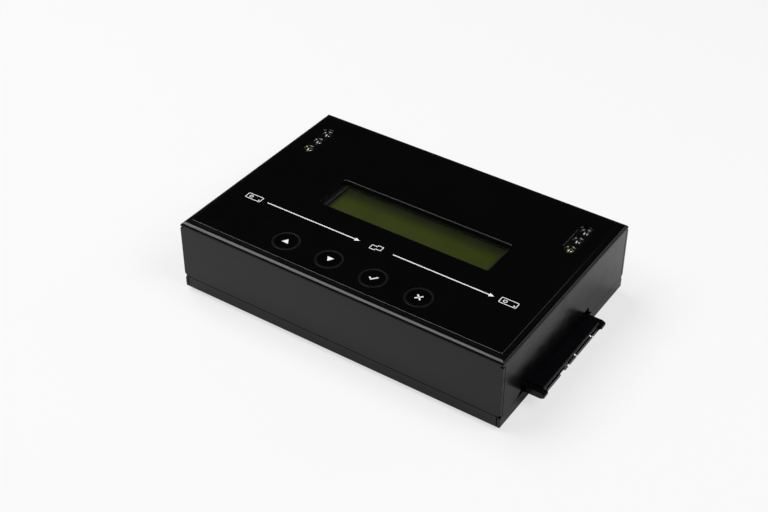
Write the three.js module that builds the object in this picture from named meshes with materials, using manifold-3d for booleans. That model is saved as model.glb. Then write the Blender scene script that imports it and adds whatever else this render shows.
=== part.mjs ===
// Stand-alone hard drive duplicator: a sheet-steel box that stands on four rubber feet.
// A character display and four keys sit in the top, two groups of three lamps beside them,
// and a 22-way drive receptacle comes out of each end, source on the left, target on the right.
// Millimetres. +X is the long side, +Y the back, +Z up; the feet stand on z = 0.

import * as THREE from 'three';
import { mergeVertices } from 'three/addons/utils/BufferGeometryUtils.js';
import Module from 'manifold-3d';

const wasm = await Module();
wasm.setup();

// Case
const caseLength = 126;
const caseDepth = 84.6;
const caseHeight = 27.15;
const sheet = 1;
const coverBend = 1.5;
const trayBend = 0.4;
const innerBendShare = 0.2;
const trayWall = 4.4;
const seamGap = 0.35;
const trayInset = 0.1;
const cornerSlit = 0.35;
const cornerNick = 1.1;
const cornerRelief = 0.7;

// Feet
const footHeight = 1.5;
const footRadius = 4.5;
const footTaper = 0.5;
const footInset = [16, 11];

// Clearances
const seat = 0.05;
const running = 0.2;
const passing = 0.3;
const overrun = 1;
const mergeWithin = 0.0001;

// Overlay on the roof, with the clear display window let into it
const overlayThickness = 0.4;
const overlayEndInset = 2.5;
const overlayFrontInset = 3.1;
const overlayCorner = 0.8;
const windowLength = 68.2;
const windowDepth = 16.25;
const windowCorner = 1;
const windowOffset = [2.5, 0.95];
const windowEdge = 0.1;

// Keys, each a cap with a retaining flange and a stem over a push switch
const keyNames = ['up', 'down', 'ok', 'esc'];
const keyRadius = 5;
const keyEdge = 0.25;
const keyPitch = 17.4;
const keyRowOffset = -0.8;
const keyFrontInset = 11.5;
const keyFlangeRadius = 6;
const keyFlange = 0.8;
const keyStemRadius = 2;
const keyTravel = 0.5;
const switchSide = 6;
const switchHeight = 3.5;
const switchLegWidth = 0.7;
const switchLegReach = 0.9;
const switchLegHeight = 0.3;
const plungerRadius = 1.75;
const plungerProud = 1.2;
const plungerDepth = 1.5;

// Lamps, three in a holder that fills a slot beside each end
const lampNames = ['front', 'middle', 'back'];
const slotWidth = 5.3;
const lampPitch = 5.65;
const lampBackInset = 18.25;
const sourceSlotInset = 8.7;
const targetSlotInset = 10;
const lampRadius = 1.5;
const lampFlangeRadius = 1.95;
const lampFlange = 1;
const lampLift = 2.4;
const lampBelowTop = 0.2;
const lampLegSide = 0.5;
const lampLegPitch = 1.8;
const holderWidth = 6.6;
const holderCupRadius = 2;
const holderCupDepth = 0.4;
const lampPlay = 0.15;

// Character display
const bezelLength = 71.2;
const bezelDepth = 25.2;
const bezelSheet = 0.5;
const bezelCorner = 0.8;
const bezelClearance = 0.7;
const bezelRim = [3.35, 4.6];
const glassSheet = 1.1;
const glassPlay = 0.3;
const glassLedge = 2.6;
const lightBelow = 0.15;

// Circuit boards
const boardThickness = 1.6;
const boardGap = 1.2;
const boardCorner = 1;
const panelDrop = 7.85;
const mainBoardRise = 2;
const mainBoardEndInset = 5.8;
const tallPartGap = 1;

// Screws, posts and standoffs
const threadRadius = 1.45;
const holeRadius = 1.6;
const countersinkRadius = 2.8;
const headRadius = 2.75;
const headHeight = 1.8;
const headCorner = 0.5;
const recessWidth = 0.7;
const recessLength = 3.2;
const recessDepth = 0.6;
const postInset = [6, 4.8];
const postRadius = 2.9;
const postScrewLength = 6;
const studLength = 4;
const studSpare = 0.5;
const coverBossRadius = 2.8;
const trayBossRadius = 2.7;
const trayBossInset = [17, 9.3];

// Drive receptacle, alike on both ends
const driveFrontInset = 36.6;
const driveReach = 5.65;
const driveWidth = 38;
const driveHeight = 2.8;
const driveDrop = 0.8;
const driveTail = 5.5;
const mouthChamfer = 0.35;
const dataSlot = 10.6;
const powerSlot = 20.9;
const slotGap = 3.7;
const slotHeight = 1.4;
const slotFloor = 0.65;
const slotDepth = 5;
const keyLegWidth = 1.2;
const keyFloor = 0.2;
const keyRelief = [1.5, 1.6];
const lipNotch = [0.8, 0.6];
const lipNotchContacts = [3, 12];
const earWidth = 2.3;
const earReach = 6.9;
const earStep = 0.5;
const earChamfer = 1.25;
const earTipHeight = 1;
const dataContactCount = 7;
const powerContactCount = 15;
const contactPitch = 1.27;
const contactWidth = 0.5;
const contactHeight = 0.25;
const contactSetback = 0.7;
const tailWidth = 0.45;
const tailHeight = 0.35;
const tailReach = 1.6;
const shellWidth = 44.2;
const shellHeight = 3.6;
const shellDepth = 8;
const shellSetback = 0.4;
const shellLip = 1.2;
const shellLipHeight = 0.9;
const notchShift = 1;
const notchMargin = 0.95;
const notchFlare = 2.3;
const notchFlareRise = 1.9;

// Power inlet and rocker switch in the back wall
const jackOffset = 30;
const jackWidth = 9;
const jackHeight = 11;
const jackLength = 14.2;
const jackAxisHeight = 6.5;
const jackCollarRadius = 4;
const jackBoreRadius = 3.15;
const jackBoreDepth = 10;
const jackPinRadius = 1.05;
const jackPinSetback = 1;
const jackChamfer = 0.6;
const rockerOffset = -25;
const rockerAxisHeight = 6.6;
const rockerFlange = [15.4, 10.4];
const rockerFlangeDepth = 1.8;
const rockerFlangeCorner = 1;
const rockerBody = [13.3, 8.8];
const rockerBodyDepth = 10.5;
const rockerWell = [11.9, 7.4];
const rockerWellDepth = 6.4;
const rockerPivotDepth = 0.2;
const rockerFaceRise = 3.3;
const rockerFaceDip = 1.1;
const rockerBelly = 4;
const rockerPinRadius = 1;
const rockerPinLength = 0.5;
const rockerTilt = THREE.MathUtils.degToRad(10);
const terminalSize = [0.8, 4.2, 4.8];
const terminalPitch = 7;

// Parts on the main board; each place is a share of the board's half length and half depth
const controllerSide = 14;
const controllerHeight = 1.4;
const controllerLeadCount = 7;
const controllerAtShares = [0.1, -0.25];
const memoryLength = 10.2;
const memoryWidth = 7.5;
const memoryHeight = 2;
const memoryLeadCount = 8;
const memoryAtShares = [-0.34, -0.25];
const leadShare = 0.45;
const leadReach = 1;
const leadHeight = 0.5;
const coilSide = 7.3;
const coilHeight = 4;
const coilCorner = 1.6;
const coilAtShares = [0.5, 0.15];
const capacitorRadius = 3.15;
const capacitorHeight = 7.7;
const capacitorGroove = 0.35;
const capacitorGrooveAt = 1.6;
const capacitorAtShares = [0.5, 0.42];
const crystalLength = 11;
const crystalWidth = 4.7;
const crystalHeight = 3.5;
const crystalRim = 0.4;
const crystalAtShares = [0.1, 0.12];
const linkLength = 20.4;
const linkWidth = 5;
const linkPinCount = 8;
const linkRowCount = 2;
const linkPinSide = 0.64;
const linkPinRise = 3;
const linkAtShares = [-0.05, 0.5];

// Facets
const roundSides = 26;
const smallSides = 12;
const postSides = 6;
const foldSteps = 2;
const domeSteps = 4;

// Levels and half sizes that follow from the sizes above
const halfLength = caseLength / 2;
const halfDepth = caseDepth / 2;
const caseBottom = footHeight;
const trayFloor = caseBottom + sheet;
const seam = caseBottom + trayWall;
const coverBottom = seam + seamGap;
const roofTop = caseBottom + caseHeight;
const roofUnder = roofTop - sheet;
const overlayBottom = roofTop + seat;
const overlayTop = overlayBottom + overlayThickness;
const mainBottom = trayFloor + mainBoardRise;
const mainTop = mainBottom + boardThickness;
const mainHalfLength = halfLength - mainBoardEndInset;
const boardHalfDepth = halfDepth - sheet - boardGap;
const panelTop = roofUnder - panelDrop;
const panelBottom = panelTop - boardThickness;
const panelHalfLength = halfLength - sheet - boardGap;
const driveY = driveFrontInset - halfDepth;
const driveBottom = mainTop - driveDrop;
const driveTop = driveBottom + driveHeight;
const shellTop = mainTop + shellHeight;
const postX = halfLength - postInset[0];
const postY = halfDepth - postInset[1];
const trayBossX = halfLength - trayBossInset[0];
const trayBossY = halfDepth - trayBossInset[1];
const lampY = halfDepth - lampBackInset;
const slotLength = (lampNames.length - 1) * lampPitch + slotWidth;
const holderLength = slotLength + holderWidth - slotWidth;
const keyY = keyFrontInset - halfDepth;
const keyHole = keyRadius + running;
const rockerZ = mainTop + rockerAxisHeight;
const jackZ = mainTop + seat + jackAxisHeight;
const rockerHalf = rockerWell[0] / 2 - running;
const rockerPivotY = halfDepth + seat - rockerPivotDepth;
const fourCorners = [[-1, -1], [1, -1], [-1, 1], [1, 1]];

// Geometry helpers: shapes are drawn with three.js, then joined and cut as closed solids

function solidOf(geometry) {
  const bare = geometry.clone();
  bare.deleteAttribute('normal');
  bare.deleteAttribute('uv');
  const merged = mergeVertices(bare, mergeWithin);
  const corners = merged.index.array;
  const kept = [];
  for (let i = 0; i < corners.length; i += 3) {
    const [a, b, c] = corners.slice(i, i + 3);
    if (a !== b && b !== c && c !== a) kept.push(a, b, c);
  }
  return new wasm.Manifold(new wasm.Mesh({
    numProp: 3,
    vertProperties: new Float32Array(merged.attributes.position.array),
    triVerts: new Uint32Array(kept),
  }));
}

function geometryOf(solid) {
  const { vertProperties, triVerts } = solid.getMesh();
  const geometry = new THREE.BufferGeometry();
  geometry.setAttribute('position', new THREE.BufferAttribute(new Float32Array(vertProperties), 3));
  geometry.setIndex(new THREE.BufferAttribute(new Uint32Array(triVerts), 1));
  const faceted = geometry.toNonIndexed();
  faceted.computeVertexNormals();
  return faceted;
}

function joined(first, ...others) {
  return others.reduce((whole, other) => whole.add(other), first);
}

function cut(body, ...cutters) {
  return cutters.reduce((rest, cutter) => rest.subtract(cutter), body);
}

function blockGeometry(low, high) {
  const sides = high.map((value, axis) => value - low[axis]);
  const geometry = new THREE.BoxGeometry(...sides);
  return geometry.translate(...sides.map((side, axis) => low[axis] + side / 2));
}

function block(low, high) {
  return solidOf(blockGeometry(low, high));
}

function pillar(at, radius, bottom, top, sides = smallSides, topRadius = radius) {
  const geometry = new THREE.CylinderGeometry(topRadius, radius, top - bottom, sides);
  geometry.rotateX(Math.PI / 2);
  return solidOf(geometry.translate(at[0], at[1], (bottom + top) / 2));
}

function barAlongY(at, radius, from, to, sides = smallSides, toRadius = radius) {
  const geometry = new THREE.CylinderGeometry(toRadius, radius, to - from, sides);
  return solidOf(geometry.translate(at[0], (from + to) / 2, at[1]));
}

function turned(profile, sides = smallSides) {
  const points = profile.map(([radius, height]) => new THREE.Vector2(radius, height));
  return solidOf(new THREE.LatheGeometry(points, sides).rotateX(Math.PI / 2));
}

function roundedOutline([x, y], length, depth, radius) {
  const corner = Math.min(radius, length / 2, depth / 2);
  const outline = new THREE.Shape();
  [[1, -1], [1, 1], [-1, 1], [-1, -1]].forEach(([sideX, sideY], quarter) => {
    const start = (quarter - 1) * Math.PI / 2;
    const centreX = x + sideX * (length / 2 - corner);
    const centreY = y + sideY * (depth / 2 - corner);
    outline.absarc(centreX, centreY, corner, start, start + Math.PI / 2);
  });
  return outline;
}

function polygon(points) {
  return new THREE.Shape(points.map(([x, y]) => new THREE.Vector2(x, y)));
}

function extruded(outline, depth) {
  return new THREE.ExtrudeGeometry(outline, { depth, bevelEnabled: false, curveSegments: foldSteps });
}

function plate(outline, bottom, top) {
  return solidOf(extruded(outline, top - bottom).translate(0, 0, bottom));
}

function sweptAlongY(outline, from, to) {
  return extruded(outline, to - from).rotateX(Math.PI / 2).translate(0, to, 0);
}

function sweptAlongX(outline, from, to) {
  return extruded(outline, to - from).rotateX(Math.PI / 2).rotateZ(Math.PI / 2).translate(from, 0, 0);
}

// Case: two shells of folded sheet, each open on one side

function foldOutline(width, openEnd, closedEnd, radius) {
  const rise = Math.sign(closedEnd - openEnd);
  const outline = new THREE.Shape();
  outline.moveTo(-width / 2, openEnd);
  outline.lineTo(width / 2, openEnd);
  const quarter = rise * Math.PI / 2;
  outline.absarc(width / 2 - radius, closedEnd - rise * radius, radius, 0, quarter, rise < 0);
  outline.absarc(radius - width / 2, closedEnd - rise * radius, radius, quarter, 2 * quarter, rise < 0);
  return outline;
}

function foldedBlock(length, depth, openEnd, closedEnd, radius) {
  const reach = Math.max(length, depth);
  const alongX = sweptAlongX(foldOutline(depth, openEnd, closedEnd, radius), -reach, reach);
  const alongY = sweptAlongY(foldOutline(length, openEnd, closedEnd, radius), -reach, reach);
  return solidOf(alongX).intersect(solidOf(alongY));
}

function foldedShell(length, depth, openEnd, closedEnd, bend) {
  const rise = Math.sign(closedEnd - openEnd);
  const innerBend = Math.max(bend - sheet, sheet * innerBendShare);
  const outer = foldedBlock(length, depth, openEnd, closedEnd, bend);
  const inner = foldedBlock(
    length - 2 * sheet,
    depth - 2 * sheet,
    openEnd - rise * overrun,
    closedEnd - rise * sheet,
    innerBend,
  );
  return cut(outer, inner);
}

function cornerNicks() {
  return fourCorners.map(([sideX, sideY]) => {
    const nick = new THREE.OctahedronGeometry(cornerNick);
    return solidOf(nick.translate(sideX * halfLength, sideY * halfDepth, seam + seamGap / 2));
  });
}

// The cover's end walls stop short of its front and back walls
function coverSlits() {
  return fourCorners.map(([sideX, sideY]) => {
    const slitX = [sideX * (halfLength - sheet - overrun), sideX * (halfLength + overrun)];
    const slitY = [sideY * (halfDepth - sheet - cornerSlit), sideY * (halfDepth - sheet)];
    return block(
      [Math.min(...slitX), Math.min(...slitY), coverBottom - overrun],
      [Math.max(...slitX), Math.max(...slitY), roofTop - coverBend],
    );
  });
}

// Where two bends meet, a notch under the corner relieves the sheet
function coverReliefs() {
  return fourCorners.map(([sideX, sideY]) => {
    const endsX = [sideX * (halfLength - sheet), sideX * (halfLength + overrun)];
    const endsY = [sideY * (halfDepth - cornerRelief), sideY * (halfDepth + overrun)];
    return block(
      [Math.min(...endsX), Math.min(...endsY), roofTop - coverBend - cornerRelief],
      [Math.max(...endsX), Math.max(...endsY), roofTop - coverBend],
    );
  });
}

// The tray's front and back walls stop short of its end walls
function traySlits() {
  const wallX = halfLength - trayInset - sheet;
  const wallY = halfDepth - trayInset;
  return fourCorners.map(([sideX, sideY]) => {
    const slitX = [sideX * (wallX - cornerSlit), sideX * wallX];
    const slitY = [sideY * (wallY - sheet - overrun), sideY * (wallY + overrun)];
    return block(
      [Math.min(...slitX), Math.min(...slitY), caseBottom + sheet],
      [Math.max(...slitX), Math.max(...slitY), seam + overrun],
    );
  });
}

// Places a shape drawn for the right-hand end, with x = 0 in the face of the wall
function onEnd(geometry, side) {
  const turn = side > 0 ? 0 : Math.PI;
  return geometry.rotateZ(turn).translate(side * halfLength, driveY, 0);
}

// Opening in the cover's end wall, flared where it meets the tray
function coverNotch(side) {
  const half = shellWidth / 2 + notchMargin;
  const top = shellTop + passing;
  const low = coverBottom - overrun;
  const flareTop = coverBottom + notchFlareRise;
  const outline = polygon([
    [-half - notchFlare - notchShift, low],
    [half + notchFlare - notchShift, low],
    [half + notchFlare - notchShift, coverBottom],
    [half - notchShift, flareTop],
    [half - notchShift, top],
    [-half - notchShift, top],
    [-half - notchShift, flareTop],
    [-half - notchFlare - notchShift, coverBottom],
  ]);
  return solidOf(onEnd(sweptAlongX(outline, -sheet - overrun, overrun), side));
}

function trayNotch(side) {
  const half = driveWidth / 2 + earWidth + passing;
  const low = [-trayInset - sheet - overrun, -half, driveBottom - passing];
  const high = [overrun, half, seam + overrun];
  return solidOf(onEnd(blockGeometry(low, high), side));
}

function keyX(index) {
  return keyRowOffset + (index - (keyNames.length - 1) / 2) * keyPitch;
}

const slotPlaces = {
  source: sourceSlotInset - halfLength,
  target: halfLength - targetSlotInset,
};

// Cutters for the openings that the roof and the overlay share
function topOpenings(bottom, top) {
  const display = plate(roundedOutline(windowOffset, windowLength, windowDepth, windowCorner), bottom, top);
  const keys = keyNames.map((name, index) => pillar([keyX(index), keyY], keyHole, bottom, top, roundSides));
  const slots = Object.values(slotPlaces).map((x) => (
    plate(roundedOutline([x, lampY], slotWidth, slotLength, slotWidth / 2), bottom, top)
  ));
  return [display, ...keys, ...slots];
}

function coverBoss([sideX, sideY]) {
  const at = [sideX * postX, sideY * postY];
  const bottom = panelTop + seat;
  const boss = pillar(at, coverBossRadius, bottom, roofUnder + sheet / 2);
  return cut(boss, pillar(at, holeRadius, bottom - overrun, panelTop + studLength + studSpare));
}

function topCover() {
  const shell = foldedShell(caseLength, caseDepth, coverBottom, roofTop, coverBend);
  const wall = [halfDepth - sheet - overrun, halfDepth + overrun];
  const rockerHalfX = rockerBody[0] / 2 + passing;
  const rockerHalfZ = rockerBody[1] / 2 + passing;
  const rockerHole = block(
    [rockerOffset - rockerHalfX, wall[0], rockerZ - rockerHalfZ],
    [rockerOffset + rockerHalfX, wall[1], rockerZ + rockerHalfZ],
  );
  const opened = cut(
    shell,
    ...coverSlits(),
    ...coverReliefs(),
    ...cornerNicks(),
    ...topOpenings(roofUnder - overrun, roofTop + overrun),
    coverNotch(1),
    coverNotch(-1),
    barAlongY([jackOffset, jackZ], jackCollarRadius + passing, ...wall, roundSides),
    rockerHole,
  );
  return joined(opened, ...fourCorners.map(coverBoss));
}

function trayBoss([sideX, sideY]) {
  const at = [sideX * trayBossX, sideY * trayBossY];
  return pillar(at, trayBossRadius, trayFloor - sheet / 2, mainBottom - seat);
}

function baseTray() {
  const length = caseLength - 2 * trayInset;
  const depth = caseDepth - 2 * trayInset;
  const shell = foldedShell(length, depth, seam, caseBottom, trayBend);
  const pan = joined(shell, ...fourCorners.map(trayBoss));
  const bossBores = fourCorners.map(([sideX, sideY]) => (
    pillar([sideX * trayBossX, sideY * trayBossY], holeRadius, caseBottom - overrun, mainBottom + overrun)
  ));
  const play = holeRadius - threadRadius;
  const countersinks = fourCorners.map(([sideX, sideY]) => {
    const at = [sideX * postX, sideY * postY];
    const cone = pillar(at, countersinkRadius + play, caseBottom, trayFloor, smallSides, holeRadius);
    return joined(cone, pillar(at, holeRadius, caseBottom - overrun, trayFloor + overrun));
  });
  return cut(
    pan,
    ...traySlits(),
    ...cornerNicks(),
    trayNotch(1),
    trayNotch(-1),
    ...bossBores,
    ...countersinks,
  );
}

function foot() {
  return turned([
    [0, 0],
    [footRadius - footTaper, 0],
    [footRadius, footHeight - seat],
    [0, footHeight - seat],
  ], roundSides);
}

// Top: overlay, window, keys and lamps

function graphicOverlay() {
  const length = caseLength - 2 * overlayEndInset;
  const depth = caseDepth - 2 * overlayFrontInset;
  const film = plate(roundedOutline([0, 0], length, depth, overlayCorner), overlayBottom, overlayTop);
  return cut(film, ...topOpenings(overlayBottom - overrun, overlayTop + overrun));
}

function displayWindow() {
  const length = windowLength - 2 * windowEdge;
  const depth = windowDepth - 2 * windowEdge;
  const outline = roundedOutline(windowOffset, length, depth, windowCorner - windowEdge);
  return plate(outline, overlayBottom, overlayTop);
}

function keyCap() {
  const flangeTop = roofUnder - seat;
  const stemBottom = panelTop + switchHeight + plungerProud + seat;
  return turned([
    [0, stemBottom],
    [keyStemRadius, stemBottom],
    [keyStemRadius, flangeTop - keyFlange],
    [keyFlangeRadius, flangeTop - keyFlange],
    [keyFlangeRadius, flangeTop],
    [keyRadius, flangeTop],
    [keyRadius, overlayTop - keyEdge],
    [keyRadius - keyEdge, overlayTop],
    [0, overlayTop],
  ], roundSides);
}

function pushSwitch() {
  const half = switchSide / 2;
  const bottom = panelTop + seat;
  const top = panelTop + switchHeight;
  const bore = plungerRadius + running;
  const boreBottom = top - plungerDepth - keyTravel - running;
  const legs = fourCorners.map(([sideX, sideY]) => {
    const middle = sideX * half / 2;
    const ends = [sideY * (half - switchLegReach), sideY * (half + switchLegReach)];
    return block(
      [middle - switchLegWidth / 2, Math.min(...ends), bottom],
      [middle + switchLegWidth / 2, Math.max(...ends), bottom + switchLegHeight],
    );
  });
  const body = block([-half, -half, bottom], [half, half, top]);
  return cut(joined(body, ...legs), pillar([0, 0], bore, boreBottom, top + overrun));
}

function plunger() {
  const top = panelTop + switchHeight;
  return pillar([0, 0], plungerRadius, top - plungerDepth, top + plungerProud);
}

function lamp() {
  const base = panelTop + lampLift;
  const centre = overlayTop - lampBelowTop - lampRadius;
  const dome = [];
  for (let step = 0; step <= domeSteps; step += 1) {
    const angle = step / domeSteps * Math.PI / 2;
    dome.push([lampRadius * Math.cos(angle), centre + lampRadius * Math.sin(angle)]);
  }
  dome[domeSteps][0] = 0;
  const lens = turned([
    [0, base],
    [lampFlangeRadius, base],
    [lampFlangeRadius, base + lampFlange],
    [lampRadius, base + lampFlange],
    ...dome,
  ]);
  const legs = [-1, 1].map((side) => {
    const middle = side * lampLegPitch / 2;
    return block(
      [-lampLegSide / 2, middle - lampLegSide / 2, panelTop + seat],
      [lampLegSide / 2, middle + lampLegSide / 2, base + lampFlange / 2],
    );
  });
  return joined(lens, ...legs);
}

function lampHolder(x) {
  const bottom = panelTop + seat;
  const flange = roundedOutline([x, lampY], holderWidth, holderLength, holderWidth / 2);
  const neckWidth = slotWidth - 2 * running;
  const neck = roundedOutline([x, lampY], neckWidth, slotLength - 2 * running, neckWidth / 2);
  const top = roofTop;
  const body = joined(plate(flange, bottom, roofUnder - seat), plate(neck, bottom + overrun, top));
  const flangeTop = panelTop + lampLift + lampFlange + seat;
  const bores = lampNames.map((name, index) => {
    const at = [x, lampY + (index - 1) * lampPitch];
    return joined(
      pillar(at, lampFlangeRadius + lampPlay, bottom - overrun, flangeTop),
      pillar(at, lampRadius + lampPlay, flangeTop - seat, top + overrun),
      pillar(at, lampRadius + lampPlay, top - holderCupDepth, top + seat, smallSides, holderCupRadius),
    );
  });
  return cut(body, ...bores);
}

// Character display under the window

function displayBezel() {
  const bottom = panelTop + seat;
  const top = roofUnder - bezelClearance;
  const outer = plate(roundedOutline(windowOffset, bezelLength, bezelDepth, bezelCorner), bottom, top);
  const room = roundedOutline(
    windowOffset,
    bezelLength - 2 * bezelSheet,
    bezelDepth - 2 * bezelSheet,
    bezelCorner - bezelSheet,
  );
  const view = roundedOutline(
    windowOffset,
    bezelLength - 2 * bezelRim[0],
    bezelDepth - 2 * bezelRim[1],
    0,
  );
  return cut(
    outer,
    plate(room, bottom - overrun, top - bezelSheet),
    plate(view, bottom, top + overrun),
  );
}

function displayPlate(playX, playY, bottom, top) {
  const halfX = bezelLength / 2 - bezelSheet - playX;
  const halfY = bezelDepth / 2 - bezelSheet - playY;
  const [x, y] = windowOffset;
  return block([x - halfX, y - halfY, bottom], [x + halfX, y + halfY, top]);
}

// Two sheets of glass, the lower one with a contact ledge on both long sides
function displayGlass() {
  const top = roofUnder - bezelClearance - bezelSheet - seat;
  const middle = top - glassSheet;
  return joined(
    displayPlate(glassPlay, glassPlay + glassLedge, middle, top),
    displayPlate(glassPlay, glassPlay, middle - glassSheet, middle),
  );
}

function displayLight() {
  const top = roofUnder - bezelClearance - bezelSheet - seat - 2 * glassSheet - seat;
  return displayPlate(glassPlay, glassPlay, panelTop + lightBelow, top);
}

// Circuit boards

function boardOutline(halfX, halfY) {
  return roundedOutline([0, 0], 2 * halfX, 2 * halfY, boardCorner);
}

function panelBoard() {
  const board = plate(boardOutline(panelHalfLength, boardHalfDepth), panelBottom, panelTop);
  const holes = fourCorners.map(([sideX, sideY]) => (
    pillar([sideX * postX, sideY * postY], holeRadius, panelBottom - overrun, panelTop + overrun)
  ));
  const backRelief = block(
    [rockerOffset - rockerBody[0] / 2 - tallPartGap, jackBack() - tallPartGap, panelBottom - overrun],
    [jackOffset + jackWidth / 2 + tallPartGap, boardHalfDepth + overrun, panelTop + overrun],
  );
  return cut(board, ...holes, backRelief);
}

function mainBoard() {
  const board = plate(boardOutline(mainHalfLength, boardHalfDepth), mainBottom, mainTop);
  const bottom = mainBottom - overrun;
  const top = mainTop + overrun;
  const reach = postRadius + passing;
  const postCuts = fourCorners.map(([sideX, sideY]) => {
    const endsX = [sideX * (postX - reach), sideX * (halfLength + overrun)];
    const endsY = [sideY * (postY - reach), sideY * (halfDepth + overrun)];
    return block(
      [Math.min(...endsX), Math.min(...endsY), bottom],
      [Math.max(...endsX), Math.max(...endsY), top],
    );
  });
  const holes = fourCorners.map(([sideX, sideY]) => (
    pillar([sideX * trayBossX, sideY * trayBossY], holeRadius, bottom, top)
  ));
  return cut(board, ...postCuts, ...holes);
}

// Screws and posts

function crossRecess(bottom, top) {
  return [[recessLength, recessWidth], [recessWidth, recessLength]].map(([x, y]) => (
    block([-x / 2, -y / 2, bottom], [x / 2, y / 2, top])
  ));
}

function caseScrew() {
  const screw = turned([
    [0, caseBottom],
    [countersinkRadius, caseBottom],
    [threadRadius, trayFloor],
    [threadRadius, trayFloor + postScrewLength],
    [0, trayFloor + postScrewLength],
  ]);
  return cut(screw, ...crossRecess(caseBottom - overrun, caseBottom + recessDepth));
}

function boardScrew() {
  const under = mainTop + seat;
  const top = under + headHeight;
  const screw = turned([
    [0, trayFloor],
    [threadRadius, trayFloor],
    [threadRadius, under],
    [headRadius, under],
    [headRadius, top - headCorner],
    [headRadius - headCorner, top],
    [0, top],
  ]);
  return cut(screw, ...crossRecess(top - recessDepth, top + overrun));
}

// Hexagonal post from the tray floor to the panel board, with a stud on its upper end
function boardPost() {
  const bottom = trayFloor + seat;
  const top = panelBottom - seat;
  const hexagon = pillar([0, 0], postRadius, bottom, top, postSides);
  const stud = pillar([0, 0], threadRadius, top - overrun, panelTop + studLength);
  const bore = pillar([0, 0], holeRadius, bottom - overrun, trayFloor + postScrewLength + studSpare);
  return cut(joined(hexagon, stud), bore);
}

// Drive receptacle, drawn for the right-hand end with x = 0 in the face of the wall.
// A flat tongue housing has two slots whose keyed ends turn down towards each other,
// a row of spring contacts in each slot, and a lower guide ear at either side of the mouth.

function driveSlots() {
  const start = -(dataSlot + slotGap + powerSlot) / 2;
  const data = { from: start, to: start + dataSlot, keyEnd: 'to', contacts: dataContactCount };
  const powerStart = data.to + slotGap;
  const power = { from: powerStart, to: powerStart + powerSlot, keyEnd: 'from', contacts: powerContactCount };
  return [data, power];
}

function slotCutters(slot) {
  const back = driveReach - slotDepth;
  const front = driveReach + overrun;
  const bottom = driveBottom + slotFloor;
  const mouth = block([back, slot.from, bottom], [front, slot.to, bottom + slotHeight]);
  const legFrom = slot.keyEnd === 'to' ? slot.to - keyLegWidth : slot.from;
  const leg = block(
    [back, legFrom, driveBottom + keyFloor],
    [front, legFrom + keyLegWidth, bottom + slotHeight / 2],
  );
  return [mouth, leg];
}

// Pocket in the block between the slots, beside the key of the data slot
function keyPocket(data) {
  const [depth, width] = keyRelief;
  return block(
    [driveReach - depth, data.to - overrun, driveBottom + keyFloor],
    [driveReach + overrun, data.to + width, driveBottom + slotFloor + slotHeight],
  );
}

// Notches in the lower lip, in front of two of the power contacts
function lipNotches(power) {
  const [depth, width] = lipNotch;
  return lipNotchContacts.map((index) => {
    const y = contactY(power, index);
    return block(
      [driveReach - depth, y - width / 2, driveBottom + keyFloor],
      [driveReach + overrun, y + width / 2, driveBottom + slotFloor + slotHeight / 2],
    );
  });
}

function contactY(slot, index) {
  const room = slot.keyEnd === 'to' ? [slot.from, slot.to - keyLegWidth] : [slot.from + keyLegWidth, slot.to];
  return (room[0] + room[1]) / 2 + (index - (slot.contacts - 1) / 2) * contactPitch;
}

function slotContacts(slot) {
  const floor = driveBottom + slotFloor;
  const contacts = [];
  for (let index = 0; index < slot.contacts; index += 1) {
    const y = contactY(slot, index);
    contacts.push(block(
      [driveReach - slotDepth - contactSetback, y - contactWidth / 2, floor - slotFloor / 2],
      [driveReach - contactSetback, y + contactWidth / 2, floor + contactHeight],
    ));
    contacts.push(block(
      [-shellSetback - sheet - shellDepth - tailReach, y - tailWidth / 2, mainTop + seat],
      [-shellSetback - sheet - shellDepth + overrun, y + tailWidth / 2, mainTop + seat + tailHeight],
    ));
  }
  return contacts;
}

// Ear with a wedge-shaped tip that finds the slot in the side of a drive
function guideEar(side) {
  const inner = side * driveWidth / 2;
  const outer = side * (driveWidth / 2 + earWidth);
  const top = driveTop - earStep;
  const middle = (driveBottom + top) / 2;
  const root = -driveTail;
  const outline = polygon([
    [root, driveBottom],
    [earReach - earChamfer, driveBottom],
    [earReach, middle - earTipHeight / 2],
    [earReach, middle + earTipHeight / 2],
    [earReach - earChamfer, top],
    [root, top],
  ]);
  const overlap = side * mouthChamfer;
  return solidOf(sweptAlongY(outline, Math.min(inner - overlap, outer), Math.max(inner - overlap, outer)));
}

function driveHousing() {
  const half = driveWidth / 2;
  const outline = polygon([
    [-driveTail, driveBottom],
    [driveReach - mouthChamfer, driveBottom],
    [driveReach, driveBottom + mouthChamfer],
    [driveReach, driveTop - mouthChamfer],
    [driveReach - mouthChamfer, driveTop],
    [-driveTail, driveTop],
  ]);
  return solidOf(sweptAlongY(outline, -half, half));
}

// Shell behind the wall, with a raised lip along its front
function driveShell() {
  const front = -sheet - shellSetback;
  const half = shellWidth / 2;
  const centre = -notchShift;
  const lipTop = shellTop;
  const body = block(
    [front - shellDepth, centre - half, mainTop + seat],
    [front, centre + half, lipTop - shellLipHeight],
  );
  const lip = block(
    [front - shellLip, centre - half, mainTop + seat],
    [front, centre + half, lipTop],
  );
  return joined(body, lip);
}

function driveReceptacle() {
  const slots = driveSlots();
  const [data, power] = slots;
  const housing = joined(driveHousing(), driveShell(), guideEar(1), guideEar(-1));
  const opened = cut(housing, ...slots.flatMap(slotCutters), keyPocket(data), ...lipNotches(power));
  return joined(opened, ...slots.flatMap(slotContacts));
}

// Back wall: barrel inlet and rocker switch

function jackFront() {
  return halfDepth - sheet - passing;
}

function jackBack() {
  return jackFront() - jackLength;
}

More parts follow.
